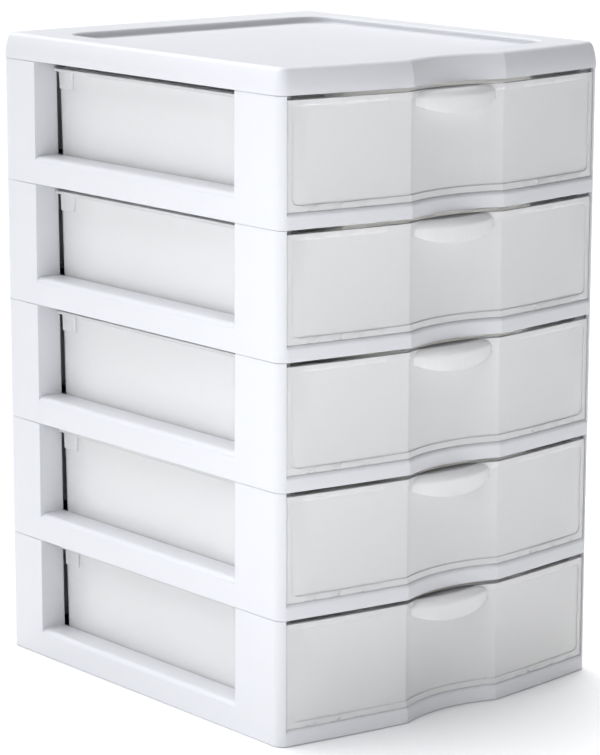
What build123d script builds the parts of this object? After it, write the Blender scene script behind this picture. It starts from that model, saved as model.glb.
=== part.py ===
from build123d import *
from math import cos, pi, sin
import os

# A free-standing tower of five shallow drawers.
# Five equal open frames stand on each other, a cover closes the top one,
# and a translucent tub slides in each frame.
# All sizes are in millimetres. +Z is up, the drawers open towards -Y,
# and the origin is under the middle of the tower, on the surface it stands on.

# ---- The tower ----
tower_width = 219.0          # across the side walls
tower_depth = 240.0          # from the front corners to the back wall
tier_pitch = 66.5            # height of one frame, and the step to the next
tier_count = 5
corner_radius = 6.5          # upright corners, seen from above

# ---- The waved front, seen from above ----
crease_offset = 31.5         # from the middle to each crease
crease_reach = 10.5          # how far a crease stands in front of the corners
hollow_reach = 4.0           # the same in the middle of the hollow
lobe_bulge = 0.8             # how far each outer lobe bows out from its chord
crease_radius = 2.0          # rounding of the creases
least_radius = 0.3           # smallest upright rounding inside a wall

# ---- The frames ----
frame_wall = 2.2             # skin of every frame and of the cover's skirt
front_rail_height = 8.5      # also the height that the drawers run at
front_rail_round = 2.5
front_rail_depth = 16.0      # shelf behind the front rail, from the corner plane
side_rail_height = 15.0
side_rail_round = 3.0
side_ledge = 15.3            # width of the ledge on top of the side and back rails
runner_width = 13.0          # shelf that carries the drawer, inside the ledge
front_post = 36.0            # length of a front post along the side
rear_post = 31.0             # length of the closed side in front of the back wall
rear_flange = 15.0           # how far the flanges in front of it reach inwards
post_return = 10.5           # how far the front posts' lips reach inwards
post_lip = 2.0               # thickness of the lips and the flanges
post_face = 4.0              # front face of a front post, beside the drawer
seam_step = 0.4              # groove where each frame meets the piece above
tongue_thickness = 1.8       # tongue that plugs into the piece above
tongue_rise = 6.0
tongue_root = 10.0           # how far the tongue reaches down inside its post
tongue_gap = 0.3             # between a tongue and the skin round it
tongue_end_gap = 3.0         # between a tongue's end and the edge of its post
rear_tongue = 24.0           # how far the rear tongues reach across the back

# ---- The cover ----
cover_height = 13.5
cover_overhang = 0.4         # beyond the frames, all round
cover_lean = 3.0             # how far the skirt's top leans in from its foot
cover_round = 2.0            # rounding of the top edge
cover_sections = 4           # plans that carry the skirt's curve, and the rounding's
tray_depth = 4.0
tray_margin = 20.0           # rim beside the tray
tray_front_margin = 16.0     # from the corner plane to the tray
tray_rear_margin = 30.0      # rim behind the tray
tray_corner = 15.0
tray_round = 1.5             # rounding of the tray's upper and lower edges
cover_plate = 2.0            # thickness of the cover's floor and rim
cover_rim_inset = 4.0        # room under the rim, from the frames' face

# ---- The drawers ----
drawer_wall = 1.6
drawer_floor = 1.8
drawer_run_gap = 0.3         # under the drawer, and at its stops
drawer_top_gap = 2.5         # between the drawer and the piece above
drawer_side_gap = 0.5        # between the tub's rim and the posts' lips
panel_side_gap = 0.5         # between the front panel and the posts
panel_rear_gap = 0.5         # between the front panel and what it closes against
panel_thickness = 2.0
panel_set_back = 1.6         # panel's face behind the rails' faces
border_width = 3.0           # raised band round the panel
border_rise = 0.6
border_corner = 3.5
tub_side = 15.3              # from the tower's side to the tub, at the tub's rim
tub_draft = 0.7              # how much the tub narrows on each side, rim to floor
tub_length = 208.3           # from the corner plane to the tub's back, at the rim
tub_corner = 3.0
rim_drop = 1.7               # the tub's rim below the panel's top edge
rim_thickness = 1.6
lug_length = 11.0            # stop lugs near the back of the tub
lug_height = 9.5
lug_inset = 3.3              # from the tub's back to the lugs
lug_rise = 1.5               # how far a lug stands out from the tub
tooth_gap = 0.5              # between the posts' stop teeth and the tub and its rim

# ---- The finger grip on each drawer ----
grip_half_span = 34.0
grip_reach = 9.5             # in front of the hollow
grip_height = 12.5
grip_wall = 1.6
grip_round = 4.5

# ---- Places worked out from the sizes ----
half_width = tower_width / 2
front_limit = max(crease_reach + cover_overhang, hollow_reach + grip_reach)
plan_shift = (front_limit - tower_depth - cover_overhang) / 2
ledge_front = panel_set_back + panel_thickness + panel_rear_gap
runner_inner = side_ledge + runner_width
drawer_base = front_rail_height + drawer_run_gap
drawer_top = tier_pitch - drawer_top_gap
rim_top = drawer_top - rim_drop
rim_low = rim_top - rim_thickness
panel_half = half_width - post_face - panel_side_gap
rim_side = post_return + drawer_side_gap
lug_side = tub_side - lug_rise
tooth_side = tub_side - tooth_gap
lug_front = tub_length - lug_inset - lug_length
drawer_travel = lug_front - front_post - drawer_run_gap


def plan_outline(inset, rounded=True):
    """Plan of the tower with its waved front, moved inwards by the inset.

    The front corners lie on the line y = 0 and the back wall on tower_depth.
    """
    crease = (crease_offset, -crease_reach)
    crease_left = (-crease_offset, -crease_reach)
    lobe_middle_x = (half_width + crease_offset) / 2
    lobe_middle_y = -crease_reach / 2 - lobe_bulge
    right_lobe = ThreePointArc((half_width, 0), (lobe_middle_x, lobe_middle_y), crease)
    hollow = ThreePointArc(crease, (0, -hollow_reach), crease_left)
    left_lobe = ThreePointArc(crease_left, (-lobe_middle_x, lobe_middle_y), (-half_width, 0))
    back = Polyline(
        (-half_width, 0), (-half_width, tower_depth), (half_width, tower_depth), (half_width, 0)
    )
    outline = make_face(Wire([right_lobe, hollow, left_lobe] + back.edges()))
    if inset != 0:
        outline = offset(outline, amount=-inset, kind=Kind.INTERSECTION)
    if not rounded:
        return outline.face()
    corners = outline.vertices().filter_by(lambda v: abs(v.X) > (crease_offset + half_width) / 2)
    outline = fillet(corners, max(corner_radius - inset, least_radius))
    creases = outline.vertices().filter_by(lambda v: v.Y < -crease_reach / 2 + inset)
    return fillet(creases, max(crease_radius - inset, least_radius)).face()


def prism(plan, low, high):
    """A plan face made solid between two heights."""
    return extrude(Pos(0, 0, low) * plan, high - low, dir=(0, 0, 1))


def block(x_range, y_range, z_range):
    """A plain box between its limits."""
    sizes = [high - low for low, high in (x_range, y_range, z_range)]
    middle = [(high + low) / 2 for low, high in (x_range, y_range, z_range)]
    return Pos(*middle) * Box(*sizes)


def both_sides(solid):
    """A solid and its mirror image on the other side of the tower."""
    return solid + mirror(solid, about=Plane.YZ)


def plan_box(half_x, y_low, y_high):
    """A rectangle in plan, as wide on each side of the middle."""
    middle = (y_low + y_high) / 2
    return Pos(0, middle, 0) * Rectangle(2 * half_x, y_high - y_low)


def skin_ring(plan_in, plan_out, low, high):
    """The solid between two plans, one inside the other."""
    return prism(plan_out, low, high) - prism(plan_in, low, high)


# ---- One frame, standing on z = 0 ----

def front_rail_and_shelf():
    """The low ring that the drawer runs on, open from below like a channel."""
    body = prism(plan_outline(0), 0, front_rail_height)
    body = fillet(body.faces().sort_by(Axis.Z)[-1].edges(), front_rail_round)
    opening = plan_box(half_width - runner_inner, front_rail_depth, tower_depth - runner_inner)
    body -= prism(opening, 0, front_rail_height)
    room_out = plan_outline(frame_wall)
    room_in = plan_box(
        half_width - runner_inner + frame_wall,
        front_rail_depth - frame_wall,
        tower_depth - runner_inner + frame_wall,
    )
    return body - skin_ring(room_in, room_out, 0, front_rail_height - frame_wall)


def high_ledge():
    """The taller rail on the sides and the back, with its ledge."""
    body = prism(plan_outline(0), 0, side_rail_height)
    body = fillet(body.faces().sort_by(Axis.Z)[-1].edges(), side_rail_round)
    inside = plan_box(half_width - side_ledge, -tower_depth, tower_depth - side_ledge)
    body -= prism(inside, 0, side_rail_height)
    body -= block((-tower_width, tower_width), (-tower_depth, ledge_front), (0, side_rail_height))
    room_out = plan_outline(frame_wall)
    room_in = plan_box(
        half_width - side_ledge + frame_wall, -tower_depth, tower_depth - side_ledge + frame_wall
    )
    room = skin_ring(room_in, room_out, 0, side_rail_height - frame_wall)
    front_end = ledge_front + frame_wall
    room -= block((-tower_width, tower_width), (-tower_depth, front_end), (0, side_rail_height))
    below_shelf = front_rail_height - frame_wall
    room += prism(room_out - room_in, 0, below_shelf)
    return body - room


def front_post_solid():
    """The left front post: its skin with the rounded corner, two lips and a stop tooth."""
    inner_x = -half_width + post_face
    skin = prism(plan_outline(0) - plan_outline(frame_wall), 0, tier_pitch)
    skin -= block((inner_x, tower_width), (-tower_depth, tower_depth), (0, tier_pitch))
    skin -= block((-tower_width, tower_width), (front_post, 2 * tower_depth), (0, tier_pitch))
    lip_low = front_rail_height - frame_wall
    lip_x = (-half_width + frame_wall / 2, -half_width + post_return)
    skin += block(lip_x, (ledge_front, ledge_front + post_lip), (lip_low, tier_pitch))
    rear_lip_y = (front_post - post_lip, front_post)
    skin += block(lip_x, rear_lip_y, (lip_low, tier_pitch))
    tooth_x = (-half_width + frame_wall, -half_width + tooth_side)
    return skin + block(tooth_x, rear_lip_y, (rim_low - lug_height, rim_low - tooth_gap))


def rear_wall_half():
    """The left half of the closed back: side and back skin, and a flange facing forwards."""
    front_y = tower_depth - rear_post
    skin = prism(plan_outline(0) - plan_outline(frame_wall), 0, tier_pitch)
    skin -= block((0, tower_width), (-tower_depth, 2 * tower_depth), (0, tier_pitch))
    skin -= block((-tower_width, tower_width), (-tower_depth, front_y), (0, tier_pitch))
    flange_x = (-half_width + frame_wall / 2, -half_width + rear_flange)
    flange_low = front_rail_height - frame_wall
    skin += block(flange_x, (front_y, front_y + post_lip), (flange_low, tier_pitch))
    return skin


def tongue(plan_x, plan_y):
    """A tongue inside a post's skin, rooted below its top and standing above it."""
    slot = frame_wall + tongue_gap
    limit = block(plan_x, plan_y, (0, 2 * tier_pitch))
    back = slot + tongue_thickness
    root = skin_ring(plan_outline(back), plan_outline(frame_wall), tier_pitch - tongue_root, tier_pitch)
    rise = skin_ring(plan_outline(back), plan_outline(slot), tier_pitch, tier_pitch + tongue_rise)
    return (root + rise) & limit


def tongues():
    """The left side's two tongues: a flat one in front and an angled one behind."""
    outer_x = -half_width
    front_y = (ledge_front + post_lip + tongue_end_gap, front_post - post_lip - tongue_end_gap)
    front = tongue((outer_x, outer_x + post_return), front_y)
    rear_y = (tower_depth - rear_post + post_lip + tongue_end_gap, tower_depth)
    rear = tongue((outer_x, outer_x + rear_tongue), rear_y)
    return front + rear


def tier_frame():
    """One frame of the tower, moulded in one piece."""
    frame = front_rail_and_shelf() + high_ledge()
    frame += both_sides(front_post_solid() + rear_wall_half() + tongues())
    seam = skin_ring(
        plan_outline(seam_step), plan_outline(-frame_wall), tier_pitch - seam_step, tier_pitch
    )
    return frame - seam


# ---- The cover, standing on z = 0 ----

def tray_plan(grow):
    """Plan of the tray in the cover's top, made larger by the given amount."""
    tray_rear = tower_depth - tray_rear_margin
    middle = (tray_front_margin + tray_rear) / 2
    length = tray_rear - tray_front_margin + 2 * grow
    width = 2 * (half_width - tray_margin + grow)
    return Pos(0, middle, 0) * RectangleRounded(width, length, tray_corner + grow)


def cover_section(height, turn):
    """Plan of the cover at a height, where its top edge has turned in by an angle."""
    lean = cover_lean * (height / cover_height) ** 2
    rounding = cover_round * (1 - cos(turn))
    return Pos(0, 0, height) * plan_outline(lean + rounding - cover_overhang)


def cover_form():
    """The cover's outer form: sides that lean in towards the top, and a round top edge."""
    shoulder = cover_height - cover_round
    steps = [step / (cover_sections - 1) for step in range(cover_sections)]
    side = loft([cover_section(shoulder * step, 0) for step in steps])
    turns = [pi / 2 * step for step in steps]
    edge = loft([cover_section(shoulder + cover_round * sin(turn), turn) for turn in turns])
    return side + edge


def top_cover():
    """The cover: a skirt, a rim and a shallow tray for small things."""
    tray_floor = cover_height - tray_depth
    cover = cover_form()
    tray = prism(tray_plan(0), tray_floor, cover_height)
    cover -= fillet(tray.faces().sort_by(Axis.Z)[0].edges(), tray_round)
    top_face = cover.faces().filter_by(Axis.Z).sort_by(Axis.Z)[-1]
    cover = fillet(top_face.inner_wires()[0].edges(), tray_round)
    under_floor = tray_floor - cover_plate
    cover -= prism(plan_outline(frame_wall), 0, under_floor)
    rim_room = plan_outline(cover_rim_inset) - tray_plan(cover_plate)
    return cover - prism(rim_room, under_floor, cover_height - cover_plate)


# ---- One drawer, at the height it has in its frame ----

def tub_plan(side, back):
    """Plan of the tub, running on in front of the panel, where it is trimmed."""
    plan = plan_box(half_width - side, -tower_depth / 4, back)
    rear = plan.vertices().sort_by(Axis.Y)[-2:]
    return fillet(rear, tub_corner).face()


def tapered_tub(inset, low):
    """The tub's outer or inner shape, narrower towards the floor."""
    rise = (low - drawer_base) / (rim_top - drawer_base)
    side = tub_side + tub_draft * (1 - rise) + inset
    back = tub_length - tub_draft * (1 - rise) - inset
    floor_plan = Pos(0, 0, low) * tub_plan(side, back)
    rim_plan = Pos(0, 0, rim_top) * tub_plan(tub_side + inset, tub_length - inset)
    return loft([floor_plan, rim_plan])


def front_panel():
    """The waved panel with its raised border."""
    face_plan = plan_outline(panel_set_back, rounded=False)
    back_plan = plan_outline(panel_set_back + panel_thickness, rounded=False)
    border_plan = plan_outline(panel_set_back - border_rise, rounded=False)
    limit = block((-panel_half, panel_half), (-tower_depth, ledge_front), (drawer_base, drawer_top))
    panel = skin_ring(back_plan, face_plan, drawer_base, drawer_top) & limit
    border = skin_ring(face_plan, border_plan, drawer_base, drawer_top) & limit
    field_height = drawer_top - drawer_base - 2 * border_width
    field = RectangleRounded(2 * (panel_half - border_width), field_height, border_corner)
    field = Pos(0, ledge_front, (drawer_base + drawer_top) / 2) * Rot(90, 0, 0) * field
    border -= extrude(field, tower_depth / 2, dir=(0, -1, 0))
    return panel + border


def grip_shape(inset, low, high):
    """The upright form of the grip: a flat bow across the panel's hollow."""
    front = -hollow_reach - grip_reach + inset
    end = grip_half_span - inset
    bow = ThreePointArc((end, -hollow_reach), (0, front), (-end, -hollow_reach))
    back_y = crease_reach
    back = Polyline((-end, -hollow_reach), (-end, back_y), (end, back_y), (end, -hollow_reach))
    return prism(make_face(Wire([bow] + back.edges())), low, high)


def finger_grip():
    """A hood over the panel's hollow, open below for the fingertips."""
    low = drawer_top - grip_height
    hood = grip_shape(0, low, drawer_top)
    nose = hood.edges().filter_by(lambda e: abs(e.center().Z - drawer_top) < 0.01)
    hood = fillet(nose.sort_by(Axis.Y)[0], grip_round)
    room = grip_shape(grip_wall, low, drawer_top - grip_wall)
    brow = room.edges().filter_by(lambda e: abs(e.center().Z - drawer_top + grip_wall) < 0.01)
    hood -= fillet(brow.sort_by(Axis.Y)[0], grip_round - grip_wall)
    smile = Ellipse(grip_half_span, grip_height)
    smile = Pos(0, crease_reach, drawer_top) * Rot(90, 0, 0) * smile
    hood &= extrude(smile, tower_depth / 2, dir=(0, -1, 0))
    return hood - prism(plan_outline(panel_set_back, rounded=False), low, drawer_top)


def stop_lug():
    """The left stop lug under the rim, which meets the front post's stop tooth."""
    lug_x = (-half_width + lug_side, -half_width + tub_side + drawer_wall)
    return block(lug_x, (lug_front, lug_front + lug_length), (rim_low - lug_height, rim_low))


def drawer():
    """One drawer: panel, tub, rim, stop lugs and finger grip in one moulding."""
    behind_face = plan_outline(panel_set_back + panel_thickness / 2, rounded=False)
    behind_panel = plan_outline(panel_set_back + panel_thickness, rounded=False)
    floor_top = drawer_base + drawer_floor
    tub = tapered_tub(0, drawer_base) & prism(behind_face, drawer_base, rim_top)
    rim = prism(tub_plan(rim_side, tub_length), rim_low, rim_top)
    tub += rim & prism(behind_face, rim_low, rim_top)
    tub += both_sides(stop_lug())
    tub -= tapered_tub(drawer_wall, floor_top) & prism(behind_panel, floor_top, drawer_top)
    return tub + front_panel() + finger_grip()


# ---- The whole tower ----

def write_part(name, solid, height):
    """Put one piece at its height in the tower and write it."""
    placed = Pos(0, plan_shift, height) * solid
    placed.label = name
    export_step(placed, f"parts/{name}.step")


def write_all():
    """Write every piece of the tower."""
    os.makedirs("parts", exist_ok=True)
    frame = tier_frame()
    tub = drawer()
    for tier in range(tier_count):
        write_part(f"tier_frame_{tier + 1}", frame, tier * tier_pitch)
        write_part(f"drawer_{tier + 1}", tub, tier * tier_pitch)
    write_part("top_cover", top_cover(), tier_count * tier_pitch)
    print("drawer travel", round(drawer_travel, 2), "plan shift", round(plan_shift, 3))


write_all()
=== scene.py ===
# %% [markdown]
# # A plastic drawer tower
# Five equal open frames stand on each other, a cover with a tray closes the top one, and a frosted
# tub slides in each frame. The imported CAD model gives every place and size, so the first step loads
# it and moves each piece's placement into its mesh. All lengths from here on are in metres, +Z is up
# and the drawers open towards -Y.

# %% Load the CAD frame
import bmesh
import bpy
import math
from mathutils import Matrix, Vector


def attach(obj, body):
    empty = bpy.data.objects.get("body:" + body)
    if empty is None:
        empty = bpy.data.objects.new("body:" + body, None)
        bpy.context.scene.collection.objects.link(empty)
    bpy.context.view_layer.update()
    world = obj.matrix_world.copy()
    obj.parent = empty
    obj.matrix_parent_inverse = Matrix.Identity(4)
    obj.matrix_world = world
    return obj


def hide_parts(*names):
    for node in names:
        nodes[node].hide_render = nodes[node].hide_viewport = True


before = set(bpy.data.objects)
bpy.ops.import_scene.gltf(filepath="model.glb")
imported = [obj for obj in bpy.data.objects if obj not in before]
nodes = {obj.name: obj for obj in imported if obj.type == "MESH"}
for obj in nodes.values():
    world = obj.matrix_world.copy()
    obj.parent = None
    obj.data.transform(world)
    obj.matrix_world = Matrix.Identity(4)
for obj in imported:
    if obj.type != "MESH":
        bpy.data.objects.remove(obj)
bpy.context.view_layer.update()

# %% [markdown]
# The camera stands in front of the tower's left corner and a little above it. A long lens was used,
# because the upright edges hardly lean. The place and the turn come from matching the tower's
# edges, seams and corners, so the camera is set from those numbers, with no target to aim at.

# %% Camera
SENSOR = 36.0
LENS = 146.352
YAW, PITCH, ROLL = 39.714, 11.866, 0.149

camera_data = bpy.data.cameras.new("camera")
camera_data.sensor_width = SENSOR
camera_data.lens = LENS
camera = bpy.data.objects.new("camera", camera_data)
bpy.context.scene.collection.objects.link(camera)
turn = Matrix.Rotation(math.radians(-YAW), 4, "Z")
tilt = Matrix.Rotation(math.radians(90.0 - PITCH), 4, "X")
roll = Matrix.Rotation(math.radians(ROLL), 4, "Z")
camera.matrix_world = Matrix.Translation((-1.05318, -1.26524, 0.50567)) @ turn @ tilt @ roll
bpy.context.scene.camera = camera
print("camera at", [round(c, 3) for c in camera.matrix_world.translation])

# %% [markdown]
# Colours are written as they look on a screen, in hex, and Blender wants them linear, so one
# function turns them. A second one adds a shader or geometry node with its settings, its input
# values and its links, which keeps every tree below short.


# %% Colour and node helpers
def linear(hex_colour):
    """An sRGB colour such as 'F0F2F6' as linear RGBA."""
    channels = [int(hex_colour[i:i + 2], 16) / 255 for i in (0, 2, 4)]
    return [c / 12.92 if c <= 0.04045 else ((c + 0.055) / 1.055) ** 2.4 for c in channels] + [1.0]


def add(tree, kind, links=None, inputs=None, **settings):
    """Add a node with its settings, input values and links (input: output socket)."""
    node = tree.nodes.new(kind)
    for name, value in settings.items():
        setattr(node, name, value)
    for name, value in (inputs or {}).items():
        node.inputs[name].default_value = value
    for name, socket in (links or {}).items():
        tree.links.new(socket, node.inputs[name])
    return node


print("grey 808080 is linear", round(linear("808080")[0], 3))

# %% [markdown]
# The photo looks as if it was taken in a white tent, bright overhead and behind, dim in front. An
# image of a studio could light it, but no such file is used here. The sky is a soft ramp instead,
# made from the direction alone: bright round one direction and dim in front, below and beside it.

# %% World
SKY_TOWARDS = (-0.12, 0.45, 0.88)
SKY_DIM, SKY_BRIGHT = 0.025, 2.8
RAMP_START, RAMP_END = 0.45, 0.97
TENT_WHITE = "FBFCFF"

world = bpy.data.worlds.new("white_tent")
world.use_nodes = True
bpy.context.scene.world = world
tree = world.node_tree
tree.nodes.clear()
where = add(tree, "ShaderNodeTexCoord")
facing = add(tree, "ShaderNodeVectorMath", {0: where.outputs["Generated"]}, operation="DOT_PRODUCT")
facing.inputs[1].default_value = Vector(SKY_TOWARDS).normalized()
ramp = add(tree, "ShaderNodeMapRange", {"Value": facing.outputs["Value"]}, {
    "From Min": RAMP_START, "From Max": RAMP_END, "To Min": SKY_DIM, "To Max": SKY_BRIGHT},
    interpolation_type="SMOOTHSTEP")
sky = add(tree, "ShaderNodeBackground", {"Strength": ramp.outputs["Result"]},
          {"Color": linear(TENT_WHITE)})
add(tree, "ShaderNodeOutputWorld", {"Surface": sky.outputs["Background"]})
print("sky from", SKY_DIM, "to", SKY_BRIGHT)

# %% [markdown]
# The tent's walls glow, and each one that matters is a softbox. A faint left wall and a small box
# in front of the left corner light the left side and the fronts, the second one so that the light
# fades towards the right. The right rear wall sends light through the side windows into the clear
# drawers, which is what makes their fronts glow. A low strip in front stands for the light that
# the paper throws up. The cost of the right rear wall is that the right side and the back come out
# brighter than the left one in views from there.


# %% Softboxes of the tent
def softbox(name, place, target, width, height, power, colour="FFFFFF"):
    """A rectangular light at a place, facing the target, unseen by cameras and in gloss."""
    data = bpy.data.lights.new(name, "AREA")
    data.shape = "RECTANGLE"
    data.size, data.size_y = width, height
    data.energy = power
    data.color = linear(colour)[:3]
    light = bpy.data.objects.new(name, data)
    bpy.context.scene.collection.objects.link(light)
    light.location = place
    light.rotation_euler = (Vector(target) - Vector(place)).to_track_quat("-Z", "Y").to_euler()
    light.visible_camera = False
    light.visible_glossy = False
    print(name, "radiance", round(power / (math.pi * width * height), 2))
    return light


# Each line says: name, place and target in metres, width and height, power in watts, colour.
softbox("left_wall", (-0.62, 0.15, 0.42), (0.0, 0.15, 0.42), 1.0, 0.8, 0.25, TENT_WHITE)
softbox("left_front", (-0.46, -0.36, 0.26), (-0.05, -0.08, 0.18), 0.3, 0.4, 1.05, TENT_WHITE)
softbox("right_rear_wall", (0.55, 0.42, 0.42), (0.0, 0.42, 0.42), 0.95, 0.8, 5.0, "FFFDF8")
softbox("low_fill", (0.14, -0.46, 0.05), (0.04, -0.1, 0.08), 0.45, 0.06, 0.2)

# %% [markdown]
# The tower stands on white paper. The floor lies a hair below the tower's feet, so that the two
# never share a plane. It is so large that its far edge hardly shows, and it isn't part of the
# tower: no body carries it.

# %% Floor
FLOOR_HALF = 30.0
FLOOR_DROP = 0.0004

floor_mesh = bpy.data.meshes.new("paper_floor")
corners = [(x * FLOOR_HALF, y * FLOOR_HALF, 0) for x, y in ((-1, -1), (1, -1), (1, 1), (-1, 1))]
floor_mesh.from_pydata(corners, [], [(0, 1, 2, 3)])
floor = bpy.data.objects.new("paper_floor", floor_mesh)
bpy.context.scene.collection.objects.link(floor)
floor.location.z = -FLOOR_DROP
paper = bpy.data.materials.new("matt_white_paper")
paper.use_nodes = True
shader = paper.node_tree.nodes["Principled BSDF"]
shader.inputs["Base Color"].default_value = linear("F9F9F9")
shader.inputs["Roughness"].default_value = 0.95
shader.inputs["Specular IOR Level"].default_value = 0.1
floor_mesh.materials.append(paper)
print("floor", 2 * FLOOR_HALF, "m across")

# %% [markdown]
# The frames and the cover are polypropylene, injection moulded in steel tools with a fine satin
# face. White pigment hides the depth of the plastic, so a plain dielectric with an IOR of 1.49
# does it. The satin grain of the tool is about 0.4 mm across here, coarser than a real one of
# 0.1 mm, which is too fine to show, and it only ripples the face and its gloss by a little.

# %% Moulded white polypropylene
MM = 0.001
PP_IOR = 1.49
SATIN_GRAIN = 0.4 * MM

white = bpy.data.materials.new("moulded_white_polypropylene")
white.use_nodes = True
tree = white.node_tree
shader = tree.nodes["Principled BSDF"]
shader.inputs["Base Color"].default_value = linear("DADBDE")
shader.inputs["IOR"].default_value = PP_IOR
place = add(tree, "ShaderNodeTexCoord")
grain = add(tree, "ShaderNodeTexNoise", {"Vector": place.outputs["Object"]},
            {"Scale": 1 / SATIN_GRAIN, "Detail": 2.0, "Roughness": 0.6})
gloss = add(tree, "ShaderNodeMapRange", {"Value": grain.outputs["Fac"]},
            {"From Min": 0.3, "From Max": 0.7, "To Min": 0.36, "To Max": 0.46})
tree.links.new(gloss.outputs["Result"], shader.inputs["Roughness"])
ripple = add(tree, "ShaderNodeBump", {"Height": grain.outputs["Fac"]},
             {"Strength": 0.25, "Distance": 0.01 * MM})
tree.links.new(ripple.outputs["Normal"], shader.inputs["Normal"])
print(white.name, "grain", SATIN_GRAIN / MM, "mm")

# %% [markdown]
# The drawers are the same plastic without pigment. Thin polypropylene is milky: part of the light
# goes straight through with a slight blur, and the rest is scattered inside the wall. So under a
# third is transmission, and the rest is subsurface with a path of about half a wall. The body's
# IOR is far below the real 1.49, so that two thin walls hardly bend what is seen through them, and
# a coat with the real IOR gives the surface its gloss.

# %% Frosted clear polypropylene
SCATTER_PATH = 0.7 * MM
CLEAR_SHARE = 0.3
BODY_IOR = 1.06
BLUR = 0.25
SURFACE_GLOSS = 0.22

frosted = bpy.data.materials.new("frosted_clear_polypropylene")
frosted.use_nodes = True
tree = frosted.node_tree
shader = tree.nodes["Principled BSDF"]
shader.inputs["Base Color"].default_value = linear("FDFDFC")
shader.inputs["IOR"].default_value = BODY_IOR
shader.inputs["Transmission Weight"].default_value = CLEAR_SHARE
shader.inputs["Roughness"].default_value = BLUR
shader.inputs["Coat Weight"].default_value = 1.0
shader.inputs["Coat Roughness"].default_value = SURFACE_GLOSS
shader.inputs["Coat IOR"].default_value = PP_IOR
shader.inputs["Subsurface Weight"].default_value = 1.0
shader.inputs["Subsurface Radius"].default_value = (1.0, 1.0, 1.0)
shader.inputs["Subsurface Scale"].default_value = SCATTER_PATH
print(frosted.name, "scatter path", SCATTER_PATH / MM, "mm")

# %% [markdown]
# The fronts follow a rule: seen from above, they are three arcs, a hollow between two outer lobes,
# that meet in two creases. The CAD mesh has only a few chords on each arc, which shows in a clear
# drawer as stripes. So the front of a drawer is cut into narrow strips, and each new point is
# put back on its arc, which lies at a set depth behind the tower's face.

# %% The rule of the waved front
PLAN_SHIFT = -113.45 * MM
HALF_WIDTH = 109.5 * MM
CREASE_X, CREASE_Y = 31.5 * MM, -10.5 * MM
HOLLOW_Y = -4.0 * MM
LOBE_BULGE = 0.8 * MM


def circle_through(a, b, c):
    """Centre and radius of the circle through three points in plan."""
    ax, ay, bx, by, cx, cy = *a, *b, *c
    a2, b2, c2 = ax**2 + ay**2, bx**2 + by**2, cx**2 + cy**2
    twice = 2 * (ax * (by - cy) + bx * (cy - ay) + cx * (ay - by))
    x = (a2 * (by - cy) + b2 * (cy - ay) + c2 * (ay - by)) / twice
    y = (a2 * (cx - bx) + b2 * (ax - cx) + c2 * (bx - ax)) / twice
    return Vector((x, y)), math.hypot(ax - x, ay - y)


crease = (CREASE_X, CREASE_Y)
lobe_middle = ((HALF_WIDTH + CREASE_X) / 2, CREASE_Y / 2 - LOBE_BULGE)
hollow_arc = circle_through(crease, (0, HOLLOW_Y), (-CREASE_X, CREASE_Y))
lobe_arc = circle_through((HALF_WIDTH, 0), lobe_middle, crease)
print("radius in mm: hollow", round(hollow_arc[1] / MM, 1), "lobe", round(lobe_arc[1] / MM, 1))

# %% [markdown]
# Only points that already lie close to an arc are moved, so the grip and the rim stay as they
# are. The panel's lower edge also goes down by most of the running gap: the real panel hangs that
# close to the rail.

# %% Strips on the arcs
ARC_REACH = 0.08 * MM
FRONT_ZONE = 4.05 * MM
HOLLOW_STRIP, HOLLOW_CUTS = 1.05 * MM, 30
LOBE_STRIP, LOBE_CUTS = 3.0 * MM, 24
CUT_TOLERANCE = 1e-7
DRAWER_BASE = 8.8 * MM
BASE_REACH = 0.01 * MM
RUN_GAP_CLOSED = 0.25 * MM


def put_on_arc(point, depths):
    """Move a plan point (x from the middle, y from the corner line) onto the nearest arc."""
    hollow = abs(point.x) < CREASE_X
    centre, radius = hollow_arc if hollow else lobe_arc
    away = Vector((abs(point.x), point.y)) - centre
    for depth in depths:
        wanted = radius + depth if hollow else radius - depth
        if abs(away.length - wanted) < ARC_REACH:
            fixed = centre + away.normalized() * wanted
            return Vector((math.copysign(fixed.x, point.x), fixed.y))
    return point


def refine_front(work, depths):
    """Cut the front of a piece into narrow strips and put their corners on the arcs."""
    cuts = [x * HOLLOW_STRIP for x in range(-HOLLOW_CUTS, HOLLOW_CUTS + 1)]
    cuts += [side * (CREASE_X + (x + 0.5) * LOBE_STRIP)
             for side in (-1, 1) for x in range(LOBE_CUTS)]
    for x in cuts:
        faces = [f for f in work.faces if f.calc_center_median().y - PLAN_SHIFT < FRONT_ZONE]
        edges = {e for f in faces for e in f.edges}
        corners = {v for f in faces for v in f.verts}
        bmesh.ops.bisect_plane(work, geom=list(set(faces) | edges | corners), dist=CUT_TOLERANCE,
                               plane_co=(x, 0, 0), plane_no=(1, 0, 0))
    moved = 0
    for vert in work.verts:
        plan = Vector((vert.co.x, vert.co.y - PLAN_SHIFT))
        if plan.y < FRONT_ZONE:
            fixed = put_on_arc(plan, depths)
            moved += fixed is not plan
            vert.co.x, vert.co.y = fixed.x, fixed.y + PLAN_SHIFT
            if abs(vert.co.z - DRAWER_BASE) < BASE_REACH:
                vert.co.z -= RUN_GAP_CLOSED
    print("strips", len(cuts), "points on the arcs", moved)


# %% [markdown]
# A moulded edge is never knife sharp. Each CAD piece is copied, its loose triangles are welded and
# its flat faces joined again. The long edges between broad faces then get a small rounding
# with a Bevel, which catches the light as on the real one. Small steps stay sharp, because a
# rounding would eat them up. Weighted normals keep the strips of the hollow free of stripes.
#
# Two faults stay. Clamping is off, so one short edge can't shrink every rounding, but some faces
# now overlap themselves, and a shelf inside each frame renders black. And some corner normals on
# the back of the drawer's front panel tilt too far. Clamping and a plain triangulation of the
# faces with holes would be the first things to try.

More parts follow.
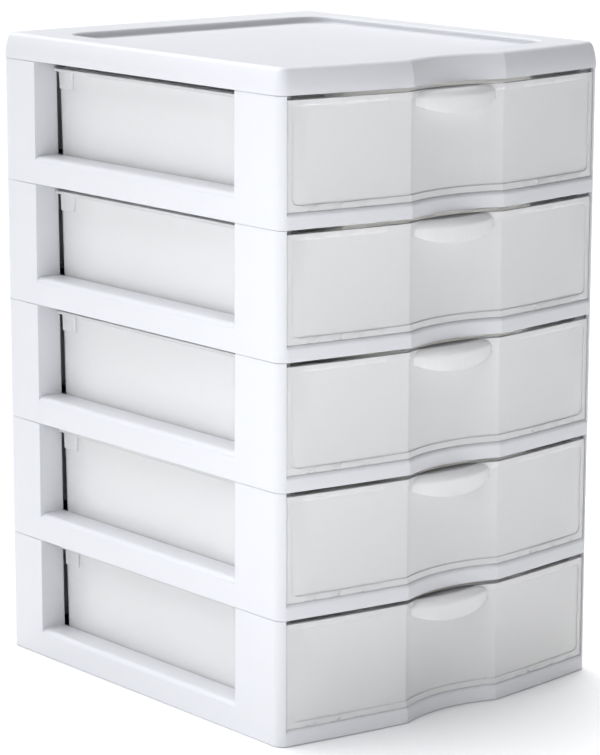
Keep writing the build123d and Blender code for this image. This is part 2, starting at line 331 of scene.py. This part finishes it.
# %% Copies with rounded edges
WELD = 0.002 * MM
FLAT = math.radians(0.4)
SHARP = math.radians(32)
BROAD_FACE, LONG_EDGE = 1.2 * MM, 5 * MM
BEVEL_SEGMENTS = 2
FACE_AREA_WEIGHT = 90


def rounded_copy(node_name, radius, front_depths=()):
    """A welded copy of a CAD piece whose long edges between broad faces are rounded."""
    mesh = nodes[node_name].data.copy()
    mesh.materials.clear()
    work = bmesh.new()
    work.from_mesh(mesh)
    bmesh.ops.remove_doubles(work, verts=work.verts, dist=WELD)
    bmesh.ops.dissolve_limit(work, angle_limit=FLAT, verts=work.verts, edges=work.edges)
    if front_depths:
        refine_front(work, front_depths)
    weight = work.edges.layers.float.new("bevel_weight_edge")
    chosen = 0
    for edge in work.edges:
        if len(edge.link_faces) != 2 or edge.calc_face_angle(0) < SHARP:
            continue
        length = edge.calc_length()
        if length > LONG_EDGE and all(f.calc_area() / length > BROAD_FACE for f in edge.link_faces):
            edge[weight] = 1.0
            chosen += 1
    for face in work.faces:
        face.smooth = True
    work.to_mesh(mesh)
    work.free()
    mesh.set_sharp_from_angle(angle=SHARP)
    piece = bpy.data.objects.new("work_" + node_name, mesh)
    bpy.context.scene.collection.objects.link(piece)
    bevel = piece.modifiers.new("rounded_edges", "BEVEL")
    bevel.width = radius
    bevel.segments = BEVEL_SEGMENTS
    bevel.limit_method = "WEIGHT"
    bevel.use_clamp_overlap = False
    even = piece.modifiers.new("even_shading", "WEIGHTED_NORMAL")
    even.keep_sharp = True
    even.weight = FACE_AREA_WEIGHT
    print(node_name, "faces", len(mesh.polygons), "rounded edges", chosen)
    return piece


# %% [markdown]
# The tiers repeat at the height of one frame. A small Geometry Nodes tree stacks whatever piece it
# is put on: a line of points, one above the other, carries a copy on each point. The frames are
# one stack of five, and each drawer is a stack of one that starts at its own tier.

# %% Geometry Nodes: stack of tiers
TIER_PITCH = 66.5 * MM
TIERS = 5

stack = bpy.data.node_groups.new("stack_of_tiers", "GeometryNodeTree")
stack.is_modifier = True
sockets = {}
for label, kind in (("Geometry", "Geometry"), ("Tier Pitch", "Float"), ("First Tier", "Int"),
                    ("Tier Count", "Int"), ("Material", "Material")):
    sockets[label] = stack.interface.new_socket(
        label, in_out="INPUT", socket_type="NodeSocket" + kind).identifier
stack.interface.new_socket("Geometry", in_out="OUTPUT", socket_type="NodeSocketGeometry")
given = add(stack, "NodeGroupInput")
height = add(stack, "ShaderNodeMath", {
    0: given.outputs["Tier Pitch"], 1: given.outputs["First Tier"]}, operation="MULTIPLY")
start = add(stack, "ShaderNodeCombineXYZ", {"Z": height.outputs[0]})
step = add(stack, "ShaderNodeCombineXYZ", {"Z": given.outputs["Tier Pitch"]})
line = add(stack, "GeometryNodeMeshLine", {
    "Count": given.outputs["Tier Count"], "Start Location": start.outputs[0],
    "Offset": step.outputs[0]})
copies = add(stack, "GeometryNodeInstanceOnPoints", {
    "Points": line.outputs["Mesh"], "Instance": given.outputs["Geometry"]})
real = add(stack, "GeometryNodeRealizeInstances", {"Geometry": copies.outputs["Instances"]})
painted = add(stack, "GeometryNodeSetMaterial", {
    "Geometry": real.outputs["Geometry"], "Material": given.outputs["Material"]})
add(stack, "NodeGroupOutput", {"Geometry": painted.outputs["Geometry"]})
print("stack inputs:", list(sockets))


def stacked(source, name, first, count, material):
    """The source piece stacked by the tree, as a new plain mesh object."""
    rule = source.modifiers.new("stack", "NODES")
    rule.node_group = stack
    rule[sockets["Tier Pitch"]] = TIER_PITCH
    rule[sockets["First Tier"]] = first
    rule[sockets["Tier Count"]] = count
    rule[sockets["Material"]] = material
    graph = bpy.context.evaluated_depsgraph_get()
    mesh = bpy.data.meshes.new_from_object(source.evaluated_get(graph), depsgraph=graph)
    mesh.name = name
    source.modifiers.remove(rule)
    piece = bpy.data.objects.new(name, mesh)
    bpy.context.scene.collection.objects.link(piece)
    print(name, "faces", len(mesh.polygons))
    return piece


# %% [markdown]
# Now the pieces themselves: the stack of frames and the cover, which stand still as the cabinet,
# and one drawer on each of the five sliding bodies. Only the first frame and the first drawer
# are made, since the five are alike. Each drawer could share one mesh, but it has to lie at its
# own height with its origin at the tower's, so each one is a mesh of its own.

# %% Frames, cover and drawers
WHITE_ROUNDING, DRAWER_ROUNDING = 0.35 * MM, 0.3 * MM
PANEL_DEPTHS = (1.0 * MM, 1.6 * MM, 3.6 * MM)

frame_source = rounded_copy("tier_frame_1", WHITE_ROUNDING)
cover_source = rounded_copy("top_cover", WHITE_ROUNDING)
drawer_source = rounded_copy("drawer_1", DRAWER_ROUNDING, PANEL_DEPTHS)

frames = stacked(frame_source, "frame_stack", 0, TIERS, white)
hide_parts(*[f"tier_frame_{tier + 1}" for tier in range(TIERS)])
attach(frames, "cabinet")

cover = stacked(cover_source, "cover_with_tray", 0, 1, white)
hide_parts("top_cover")
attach(cover, "cabinet")

for tier in range(TIERS):
    tub = stacked(drawer_source, f"tub_{tier + 1}", tier, 1, frosted)
    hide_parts(f"drawer_{tier + 1}")
    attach(tub, f"drawer_{tier + 1}")

for source in (frame_source, cover_source, drawer_source):
    bpy.data.objects.remove(source)

# %% [markdown]
# The photo keeps its whites white. The Standard view does the same, where a filmic one would turn
# them grey.

# %% View
scene = bpy.context.scene
scene.view_settings.view_transform = "Standard"
scene.view_settings.look = "None"
print("view", scene.view_settings.view_transform)
